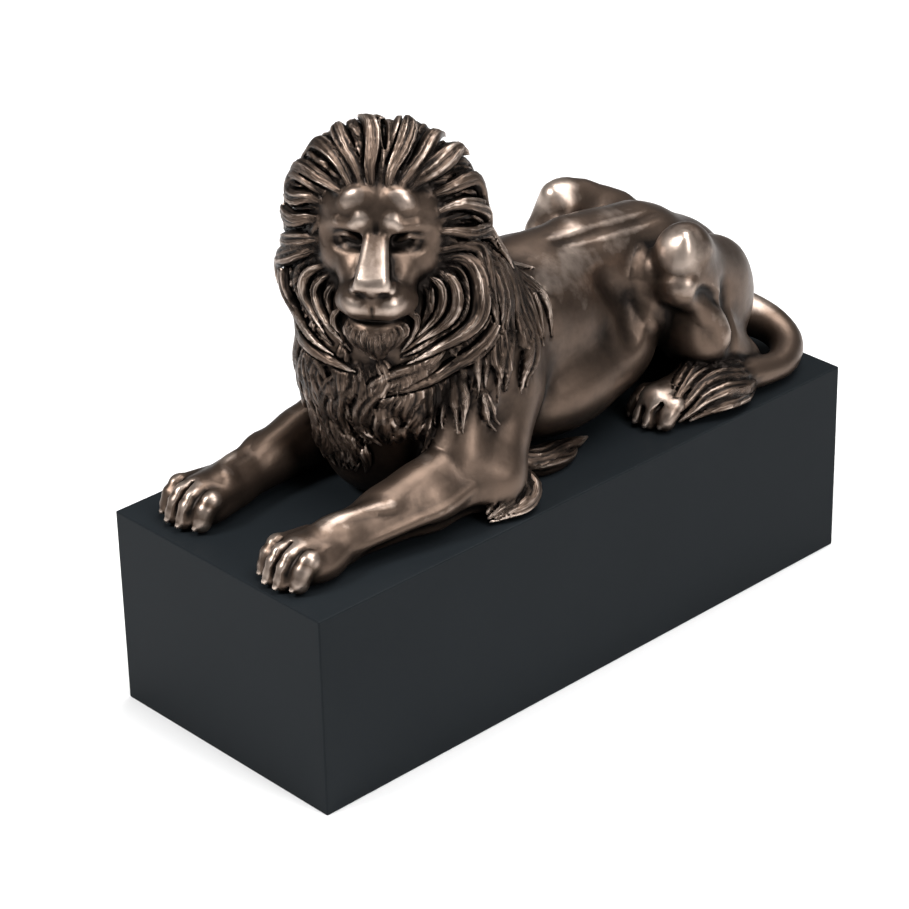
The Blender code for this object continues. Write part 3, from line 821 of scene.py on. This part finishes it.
# Round the lion's left cheek: the recessed locks first, then the proud ones between them. A row is the
# layer, how far it goes on round the back, and then as before
ruff = [face_lock(*row, layer=layer, over=over) for layer, over, *row in (
    (-0.15, 0, 2.2, 2.2, 0.8, 4, (31, -7), (36, -17), (35.5, -27), (29.5, -34.5), (21, -39), (13, -41.5),
     (6, -43)),
    (-0.15, 0, 1.9, 2.2, 0.8, 3, (18, -8.5), (26, -10.5), (30, -17), (29.5, -23.5), (24.5, -29), (16, -33),
     (9, -35)),
    (-0.2, 0, 1.5, 1.6, 0.4, 2, (14, -14), (17, -18.5), (17, -24), (13.5, -29), (9.5, -32)),
    (-0.15, 6, 2.2, 2.4, 0.9, 4, (18.5, 0.5), (24, 0), (30, -3), (35, -9), (38, -17)),
    (-0.15, 7, 2.2, 2.4, 0.9, 4, (18.5, 7), (25, 7), (31, 3.5), (36, -3)),
    (-0.15, 7, 2.2, 2.4, 0.9, 3, (18, 13), (24, 13.5), (30.5, 10.5), (35.5, 4)),
    (-0.15, 7, 2.2, 2.4, 0.9, 4, (14, 18.5), (21, 19.5), (28, 18), (33, 13)),
    (0.35, 0, 3, 2.8, 1, 5, (35, -10), (39, -21), (38, -30.5), (33, -38), (26, -42), (19, -44.5), (10, -46),
     (2, -48)),
    (0.45, 0, 3.2, 3.2, 1.4, 5, (18, -6.5), (25, -7), (31, -12), (33.5, -19), (33, -26), (28, -31),
     (20, -34.5), (10, -37)),
    (0.35, 0, 1.4, 1.5, 0.4, 2, (11.5, -18), (13.5, -23), (12, -29), (8.5, -33)),
    (0.5, 0, 1.8, 2.2, 0.6, 3, (16, -11.5), (20.5, -15), (21.5, -21), (18.5, -26), (13, -29.5)),
    (0.5, 0, 2.1, 2.6, 0.8, 3, (18, -10), (24, -13.5), (26.5, -20), (24, -26), (18.5, -29.5), (12.5, -31.5)),
    (0.45, 6, 2.8, 3, 1.2, 4, (18, -3), (25, -4), (31, -8.5), (36, -16), (38, -24)),
    (0.45, 8, 2.6, 3, 1.2, 4, (18.5, 4), (24, 3.5), (30, 0.5), (34.5, -4), (37.5, -11)),
    (0.45, 8, 2.6, 3, 1.2, 4, (18, 10), (23.5, 10.5), (29.5, 8), (34, 3), (37, -3)),
    (0.45, 8, 2.7, 3, 1.2, 4, (17, 16), (23, 16.8), (29, 15), (34, 9)),
)]
# Round the lion's right cheek
ruff += [face_lock(*row, layer=layer, over=over) for layer, over, *row in (
    (-0.15, 0, 2, 2.2, 1, 4, (-18.5, -7), (-25.5, -11), (-29, -18), (-27.5, -25), (-22, -30.5), (-15, -33.5)),
    (-0.2, 0, 1.5, 1.6, 0.4, 2, (-14.5, -15), (-17.5, -20), (-16.5, -25.5), (-12, -30)),
    (-0.15, 6, 2.2, 2.4, 0.9, 4, (-19.5, -3), (-27, -7.5), (-35, -15)),
    (-0.15, 6, 2.2, 2.4, 0.9, 4, (-19.5, 3), (-27, 0.5), (-35, -5)),
    (-0.15, 6, 2.2, 2.4, 0.9, 4, (-19.5, 9), (-26, 8), (-34, 4.5)),
    (-0.15, 6, 2.2, 2.4, 0.9, 3, (-11.5, 18.5), (-18.5, 19), (-26, 17.5), (-32, 13)),
    (0.35, 0, 3, 2.8, 1.2, 5, (-33, -24), (-30, -36), (-22, -37), (-13.5, -38.5), (-6, -40)),
    (0.45, 0, 2.8, 3.2, 1.2, 5, (-19, -4.5), (-27, -8.5), (-32, -16), (-32, -25), (-28, -31.5), (-21, -34.5),
     (-13, -36)),
    (0.35, 0, 1.4, 1.5, 0.4, 2, (-12, -20), (-14, -25), (-12, -30), (-8, -33.5)),
    (0.5, 0, 1.8, 2.2, 0.6, 3, (-16.5, -12), (-20.5, -17), (-20.5, -23), (-16, -28), (-10.5, -31)),
    (0.5, 0, 2.1, 2.6, 0.8, 3, (-18, -9.5), (-23.5, -14), (-25.5, -20), (-23, -26), (-17, -30.5)),
    (0.45, 0, 3, 3.2, 3, 5, (-19.5, -0.5), (-26, -3), (-32, -8), (-36, -13)),
    (0.45, 0, 3.2, 3.4, 4.2, 4, (-19.5, -3.5), (-27, -8.5), (-33, -17), (-37.5, -27)),
    (0.45, 7, 2.6, 3, 0.8, 4, (-19.5, 6), (-26, 4.5), (-35, 0.5)),
    (0.45, 7, 2.6, 3, 0.8, 4, (-19, 11.5), (-25, 12), (-33, 8.5)),
    (0.45, 7, 2.7, 3, 0.8, 4, (-18, 14.5), (-24, 16), (-29.5, 14), (-33.5, 9)),
)]
# Crown, combed up and back from one point above the brow, again in two layers
crown = [face_lock(*row, layer=layer, over=over) for layer, over, *row in (
    (-0.2, 7, 2.2, 2.4, 0.9, 3, (13, 19.6), (20, 21.5), (27, 22), (33, 19.5)),
    (-0.2, 8, 2.2, 2.4, 0.9, 3, (9, 20.8), (14, 25.5), (19.5, 29.4), (25.5, 31)),
    (-0.2, 8, 2.2, 2.4, 0.9, 3, (5.4, 20.8), (7.6, 26), (11, 31.5), (16, 36.5)),
    (-0.2, 9, 2.2, 2.4, 0.9, 3, (2.2, 20), (2.4, 27), (2.8, 33), (4, 39)),
    (-0.2, 9, 1.9, 2.4, 0.9, 2, (0.2, 19), (0.1, 25), (-0.6, 31), (-1.5, 37)),
    (-0.2, 9, 2.2, 2.4, 0.9, 3, (-3.4, 20.6), (-5.8, 27), (-8.6, 33), (-12, 38)),
    (-0.2, 8, 2.2, 2.4, 0.9, 3, (-7, 20.8), (-12, 27), (-17.5, 31), (-23.5, 32)),
    (-0.2, 7, 2.2, 2.4, 0.9, 3, (-10, 19.4), (-17, 21.5), (-24, 21.5), (-31, 17)),
    (0.3, 0, 2.8, 3, 2.5, 4, (10, 20.4), (16, 24.4), (22, 27.8), (29.4, 29)),
    (0.4, 0, 3.6, 3.8, 4.6, 5, (10.5, 20.2), (17, 23.6), (23.5, 26.2), (31.4, 26.6)),
    (0.5, 8, 2.9, 3, 1.6, 4, (7, 21), (10.8, 26), (15.5, 31), (21, 34)),
    (0.5, 9, 2.7, 3, 1.4, 4, (3.8, 20.4), (4.9, 26), (6.8, 32), (9.5, 38)),
    (0.5, 9, 2.6, 3, 1.4, 4, (-1.6, 20), (-2.7, 27), (-4.2, 33), (-6.5, 39)),
    (0.5, 9, 2.6, 3, 1.4, 4, (-5.2, 21), (-8.8, 27), (-13, 32.5), (-17.5, 36)),
    (0.4, 7, 2.7, 3, 0.9, 4, (-8.4, 20.4), (-14.5, 25), (-21, 27.6), (-27, 27.5)),
    (0.4, 7, 2.7, 3, 0.9, 4, (-11, 18.8), (-18.5, 19.4), (-26, 17.8), (-32, 13)),
)]
# Beard, engraved on the chin below the lower lip
beard = []
for side, tip in (
    (-9, -29), (9.5, -29), (-7.6, -31), (8.2, -31), (-6, -32.5), (6.6, -32.5), (-4.2, -33.5), (5, -33.5),
    (-2.4, -34.5), (3.2, -34.5), (-0.6, -35), (1.4, -35.5),
):
    bend = chance.uniform(-0.8, 0.8)
    middle = (side * 0.8 + bend, (tip - 25) / 2)
    root = (side * 0.92, chance.uniform(-22.2, -20.4))
    beard.append(face_lock(1.5, 2.0, 0.8, 2, root, (side * 0.95, -25), middle, (side * 0.5 + 0.6, tip)))
chest = [part for lock in chest for part in lock.parted()]
for group, gap, depth in (
    (cover, 0.45, 0.9), (chest_cover(), 0.5, 1.0), (chest, 0.4, 0.8), (sweep, 0.5, 1.0),
    (ruff, 0.7, 1.5), (crown, 0.7, 1.4), (beard, 0.25, 0.6),
):
    for lock in group:
        lock.lay(clay, gap, depth)
# Clay pressed in where light would show between the locks at the right temple
skull((-30.3, -10, 11.5), (3, 5, 3.5), soft=1)


def free_lock(width, height, strands, facing, *knots):
    """A lock through the air or along the ground: knots are points, facing is the way its back looks."""
    points = spline(knots, 2)
    share = np.linspace(0, 1, len(points))
    fullness = np.clip(0.5 + 2 * share, 0, 1) * np.clip((1 - share) / 0.5, 0, 1) ** 0.6
    normals = np.tile(np.array(facing, float) / np.linalg.norm(facing), (len(points), 1))
    widths, heights = np.maximum(width * fullness, 0.5), np.maximum(height * fullness, 0.5)
    return Lock(points, normals, widths, heights, strands)


# The tail's brush, the elbow's tuft and the leaf of belly hair on the plinth
for row in (
    (3.4, 3.4, 3, (1, 0, 0.4), (45, 91, 4), (48.1, 80, 4.4), (48.5, 70, 4.8), (47.2, 63, 4), (46, 56, 2.2)),
    (3.6, 3.6, 3, (1, 0, 0.5), (45, 92, 5.5), (47.6, 81, 7), (47, 72, 8.6), (45.8, 64, 7.8), (45.8, 57, 5.4),
     (45, 51.5, 3)),
    (3.6, 3.6, 3, (1, 0, 0.7), (44.5, 93, 6.5), (45, 82, 10), (43, 73, 12), (42.6, 65, 11.4), (44, 57, 9),
     (44.2, 50.5, 6)),
    (3.6, 3.6, 3, (1, 0, 1), (43.5, 93, 8), (42, 83, 13), (39.6, 74, 14.6), (39, 66, 14.4), (41, 57.5, 12.4),
     (42.5, 50, 9.4)),
    (3.4, 3.4, 3, (0.6, 0, 1), (42.5, 94, 8), (40, 85, 12.5), (36, 77, 14.6), (34.6, 69, 15), (36.6, 60, 14),
     (39.5, 52, 12)),
    (3.2, 2.6, 3, (1, 0, 0.8), (39, -24, 12), (44, -23, 7.5), (47.2, -26, 4.2), (49, -33, 3),
     (48.8, -40, 2.6), (47.2, -46, 1.6)),
    (3, 2.6, 3, (1, 0, 0.6), (40, -29, 12), (44.5, -28, 8), (47.2, -31, 5.2), (48.2, -37, 4),
     (47.5, -44, 2.4)),
    (2.8, 2.4, 3, (1, 0, 0.4), (40, -34, 12), (44.5, -34, 8.6), (46.4, -37, 6.2), (46.8, -42, 4.4),
     (46.4, -46, 2.6)),
    (2.4, 2.2, 2, (1, 0, 0.4), (40, -39, 12), (43.5, -39.5, 9), (45, -42, 6.6), (45.6, -46, 4.2)),
    (5, 3.6, 4, (0.3, 0, 1), (20, -18, 16), (27, -14, 7), (30.5, -5, 3.6), (30, 5, 3.2), (29, 14, 2.8),
     (28, 21.5, 2)),
    (3.4, 2.8, 3, (0.5, 0, 1), (29, -16, 5), (33, -9, 3), (34.4, -1, 2.6), (33.6, 7, 2), (31, 13, 1.6)),
    (3.2, 2.6, 3, (-1, 0, 0.8), (-37, -24, 12), (-42, -23, 7.5), (-46, -26, 4.2), (-48, -33, 3),
     (-48, -40, 2.6), (-46, -46, 1.6)),
    (3, 2.6, 3, (-1, 0, 0.5), (-38, -30, 12), (-42.5, -29, 8), (-45.2, -32, 5.2), (-46, -38, 4),
     (-45, -45, 2.4)),
    (2.6, 2.4, 3, (-1, 0, 0.4), (-38, -36, 12), (-42.5, -37, 8.6), (-44.4, -40, 6.2), (-44.5, -45, 3.4)),
    (5, 3.6, 4, (-0.3, 0, 1), (-18, -18, 16), (-24, -13, 7), (-27, -4, 3.6), (-26.5, 5, 3.2), (-26, 14, 2.8),
     (-25, 21.5, 2)),
):
    free_lock(*row).lay(clay, 0.5, 1.0)


# Casting
# The clay becomes one bronze skin: a mesh round the grid, its loose crumbs dropped, thinned for the export.
# Its patina is dark brown, nearly black in the hollows and rubbed through to pale gold on the high points.
# Painted shade also darkens the undersides and the larger recesses, and painted highlights lie along the
# hair's strands and on the top of the back.

LION_TRIANGLES = 195000
SKIN_BAND = 3.0
FINE_REACH = 1.0
BROAD_REACH = 3.5

clay.field = np.maximum(clay.field, SEAT_GAP - clay.axes[2][None, None, :])


def skinned(clay):
    """The clay's surface as corners in lion units and four-sided faces."""
    grid = openvdb.FloatGrid(SKIN_BAND)
    grid.copyFromArray(np.clip(clay.field, -SKIN_BAND, SKIN_BAND))
    points, quads = grid.convertToQuads()
    return points * clay.grain + clay.low, quads


def largest(points, quads):
    """Only the one big body, without loose crumbs."""
    label = np.arange(len(points))
    while True:
        lowest = label[quads].min(1)
        before = label.copy()
        for k in range(4):
            np.minimum.at(label, quads[:, k], lowest)
        label = label[label]
        if (label == before).all():
            break
    keep = label[quads[:, 0]] == np.bincount(label).argmax()
    used = np.unique(quads[keep])
    place = np.zeros(len(points), int)
    place[used] = np.arange(len(used))
    return points[used], place[quads[keep]]


points, quads = largest(*skinned(clay))
mesh = bpy.data.meshes.new("lion_cast")
mesh.vertices.add(len(points))
mesh.vertices.foreach_set("co", (points * UNIT + (0, 0, PLINTH_TOP)).astype(np.float32).ravel())
mesh.loops.add(quads.size)
mesh.loops.foreach_set("vertex_index", quads.ravel())
mesh.polygons.add(len(quads))
mesh.polygons.foreach_set("loop_start", np.arange(0, quads.size, 4))
mesh.update(calc_edges=True)
lion = bpy.data.objects.new("lion_cast", mesh)
bpy.context.scene.collection.objects.link(lion)
thin = lion.modifiers.new("Thin", "DECIMATE")
thin.ratio = min(1, LION_TRIANGLES / (2 * len(quads)))
graph = bpy.context.evaluated_depsgraph_get()
cast = bpy.data.meshes.new_from_object(lion.evaluated_get(graph))
lion.modifiers.clear()
lion.data = cast
bpy.data.meshes.remove(mesh)
cast.shade_smooth()

corners = np.empty(len(cast.vertices) * 3, np.float32)
cast.vertices.foreach_get("co", corners)
corners = (corners.reshape(-1, 3) - (0, 0, PLINTH_TOP)) / UNIT


def blurred(solid, reach, grain):
    """The solid with each point the mean of its neighbourhood, for telling ridges from hollows."""
    half = max(int(round(reach / grain)), 1)
    for _ in range(2):
        for axis in range(3):
            total = np.cumsum(solid, axis=axis, dtype=np.float32)
            steps = np.arange(solid.shape[axis])
            ahead = np.take(total, np.minimum(steps + half, len(steps) - 1), axis)
            behind = np.take(total, np.maximum(steps - half - 1, 0), axis)
            solid = (ahead - behind) / (2 * half + 1)
    return solid


solid = np.clip(0.5 - clay.field / clay.grain, 0, 1).astype(np.float32)
fine = clay.read(corners, blurred(solid, FINE_REACH, clay.grain)) - 0.5
broad = clay.read(corners, blurred(solid, BROAD_REACH, clay.grain)) - 0.5
hair = np.clip(np.abs(clay.read(corners, plain)) / 0.35 - 0.6, 0, 1)

# Where the bronze is rubbed bright, and how far: pads, nose, brows, knees, tail, forelegs, paws and elbow,
# and a painted highlight on the top of the back
RUBBED_AND_SHEEN = (
    (head_point(6, 30, -12), 4), (head_point(-6, 30, -12), 4), (head_point(0, 27, -2), 6),
    (head_point(0, 20, 2), 5), (head_point(5, 14, 12), 3), (head_point(-5, 14, 12), 3),
    (head_point(8, 11, 18), 4.5), (head_point(-8, 11, 18), 4.5), ((37, 58, 70), 8), ((38, 59, 62), 8),
    ((36, 60, 66), 7), ((-37, 62, 60), 9), ((-31, 66, 67), 9), ((20, 119, 20), 8), ((30, -58, 23), 6),
    ((30, -101, 17), 5), ((-29, -99, 16), 5), ((28, -119, 15), 4), ((-29, -116, 15), 4), ((35, 47, 12), 4),
    ((48, -38, 3), 6), ((20, 8, 66), 14), ((14, 34, 70), 14), ((10, 60, 70), 12),
)
spots = np.clip(np.round((corners - clay.low) / clay.grain).astype(int), 0, np.array(clay.field.shape) - 1)
spots = tuple(spots.T)
across, along, tone = (grid[spots].astype(np.float32) for grid in (clay.across, clay.along, clay.tone))
rub_and_sheen = sum(np.exp(-np.sum((corners - centre) ** 2, axis=1) / reach ** 2) for centre, reach in RUBBED_AND_SHEEN)
# Undersides, which get painted shade: darker, and kept from the pale gold
faces = np.empty(len(cast.vertices) * 3, np.float32)
cast.vertices.foreach_get("normal", faces)
under = np.clip(-faces[2::3], 0, 1)
measures = {
    "fine": fine, "broad": broad, "hair": hair, "rub_and_sheen": rub_and_sheen, "under": under,
    "across": across, "along": along, "tone": tone,
}
for name, values in measures.items():
    layer = cast.attributes.new(name, "FLOAT", "POINT")
    layer.data.foreach_set("value", values.astype(np.float32))

# The patina's brown, its near black, which also carries the painted shade, and the rubbed gold, which also
# carries the painted highlights
BRONZE_DARK = (0.012, 0.009, 0.0075, 1)
BRONZE_BROWN = (0.115, 0.080, 0.060, 1)
BRONZE_RUBBED_AND_LIT = (0.52, 0.42, 0.355, 1)
BRONZE_ROUGHNESS = 0.30
CLOUD_SCALE = 55.0
MOTTLE_SCALE = 260.0
SPECK_SCALE = 1100.0
STRANDS_ACROSS = 3.2
STRANDS_ALONG = 0.16
# How deep the painted shade between the hair's strands and how bright the painted highlight along them
STRAND_SHADE = 3.2
STRAND_HIGHLIGHT = 4.0
STRAND_RELIEF = 0.0006
PIT_RELIEF = 0.0002

bronze = Finish("bronze", Metallic=0.92)
fine, broad, hair, rub_and_sheen, under, across, along, tone = (
    bronze.node("ShaderNodeAttribute", {"attribute_name": name}, 2) for name in measures
)
place = bronze.node("ShaderNodeTexCoord", output=3)
cloud = bronze.node("ShaderNodeTexNoise", Vector=place, Scale=CLOUD_SCALE, Detail=6.0, Roughness=0.6)
mottle = bronze.node("ShaderNodeTexNoise", Vector=place, Scale=MOTTLE_SCALE, Detail=4.0)
speck = bronze.node("ShaderNodeTexNoise", Vector=place, Scale=SPECK_SCALE, Detail=3.0)
course = bronze.node(
    "ShaderNodeCombineXYZ", X=across * STRANDS_ACROSS, Y=along * STRANDS_ALONG, Z=tone * 5.0,
)
streak = bronze.node("ShaderNodeTexNoise", Vector=course, Scale=1.0, Detail=2.0) - 0.5
streak = streak * hair

# Patina is darkest in the creases, in its clouds and over the hair; painted shade darkens the larger
# recesses, the undersides and the gaps between strands
patina_and_shade = fine * 4.5 + broad * 3.0 + cloud * 0.9 + mottle * 0.5 - 0.35 + hair * 0.8 + under * 0.6
patina_and_shade = (patina_and_shade - streak * STRAND_SHADE).clipped()

# Ridges and the rubbed places wear to pale gold; painted highlights go on the hair's strands and the top of
# the back, and none on the undersides
wear_and_highlight = fine * -6.0 + broad * -2.0 + cloud * 1.6 + mottle * 0.6 - 1.75 - hair * 0.5 + rub_and_sheen * 0.9 - under
wear_and_highlight = (wear_and_highlight + streak * STRAND_HIGHLIGHT).clipped()

engraved = bronze.node("ShaderNodeBump", Strength=0.9, Distance=STRAND_RELIEF, Height=streak)
pits = speck * 0.6 + mottle * 0.8
pitted = bronze.node("ShaderNodeBump", Strength=0.25, Distance=PIT_RELIEF, Height=pits, Normal=engraved)
bronze.set(
    Base_Color=bronze.mix(wear_and_highlight, bronze.mix(patina_and_shade, BRONZE_BROWN, BRONZE_DARK), BRONZE_RUBBED_AND_LIT),
    Roughness=BRONZE_ROUGHNESS - wear_and_highlight * 0.06 + mottle * 0.12 + speck * 0.08,
    Normal=pitted,
)
cast.materials.append(bronze.material)
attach(lion, "root")
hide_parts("lion")


# Studio
# A plain pale floor, a wide soft box overhead, one on the left and a strip on the right, and the camera
# where the photograph's was.

FLOOR_SIZE = 8
FLOOR_PALE = (0.85, 0.85, 0.85, 1)
ROOM_WHITE = (1, 1, 1, 1)
ROOM_LIGHT = 0.16

bpy.ops.mesh.primitive_plane_add(size=FLOOR_SIZE)
floor = bpy.context.object
floor.name = "floor"
pale = Finish("pale_floor", Base_Color=FLOOR_PALE, Roughness=0.7)
floor.data.materials.append(pale.material)

world = bpy.data.worlds.new("studio")
bpy.context.scene.world = world
world.use_nodes = True
world.node_tree.nodes["Background"].inputs["Color"].default_value = ROOM_WHITE
world.node_tree.nodes["Background"].inputs["Strength"].default_value = ROOM_LIGHT


def softbox(name, place, target, width, height, power):
    """An oblong lamp that looks at its target: sizes in metres, power in watts."""
    light = bpy.data.lights.new(name, "AREA")
    light.shape = "RECTANGLE"
    light.size, light.size_y, light.energy = width, height, power
    lamp = bpy.data.objects.new(name, light)
    bpy.context.scene.collection.objects.link(lamp)
    lamp.location = place
    way = Vector(target) - Vector(place)
    lamp.rotation_mode = "QUATERNION"
    lamp.rotation_quaternion = way.to_track_quat("-Z", "Y")


softbox("overhead", (0.25, 0.35, 1.50), (0, 0, 0.10), 1.4, 1.0, 33)
softbox("key", (-0.35, -0.95, 1.20), (0, 0, 0.12), 0.4, 0.4, 22)
softbox("side", (1.35, 0.05, 0.90), (0, 0, 0.10), 0.35, 0.8, 11)

CAMERA_PLACE = (0.76859, -0.73254, 0.64185)
CAMERA_RIGHT = (0.68843, 0.72505, -0.01930)
CAMERA_UP = (-0.33261, 0.33923, 0.87994)
CAMERA_LENS = 131.756
CAMERA_SENSOR = 36

right, up = Vector(CAMERA_RIGHT), Vector(CAMERA_UP)
camera_data = bpy.data.cameras.new("camera")
camera_data.lens = CAMERA_LENS
camera_data.sensor_width = CAMERA_SENSOR
camera = bpy.data.objects.new("camera", camera_data)
bpy.context.scene.collection.objects.link(camera)
turned = Matrix((right, up, right.cross(up))).transposed().to_4x4()
camera.matrix_world = Matrix.Translation(CAMERA_PLACE) @ turned
bpy.context.scene.camera = camera
bpy.context.scene.view_settings.view_transform = "Standard"
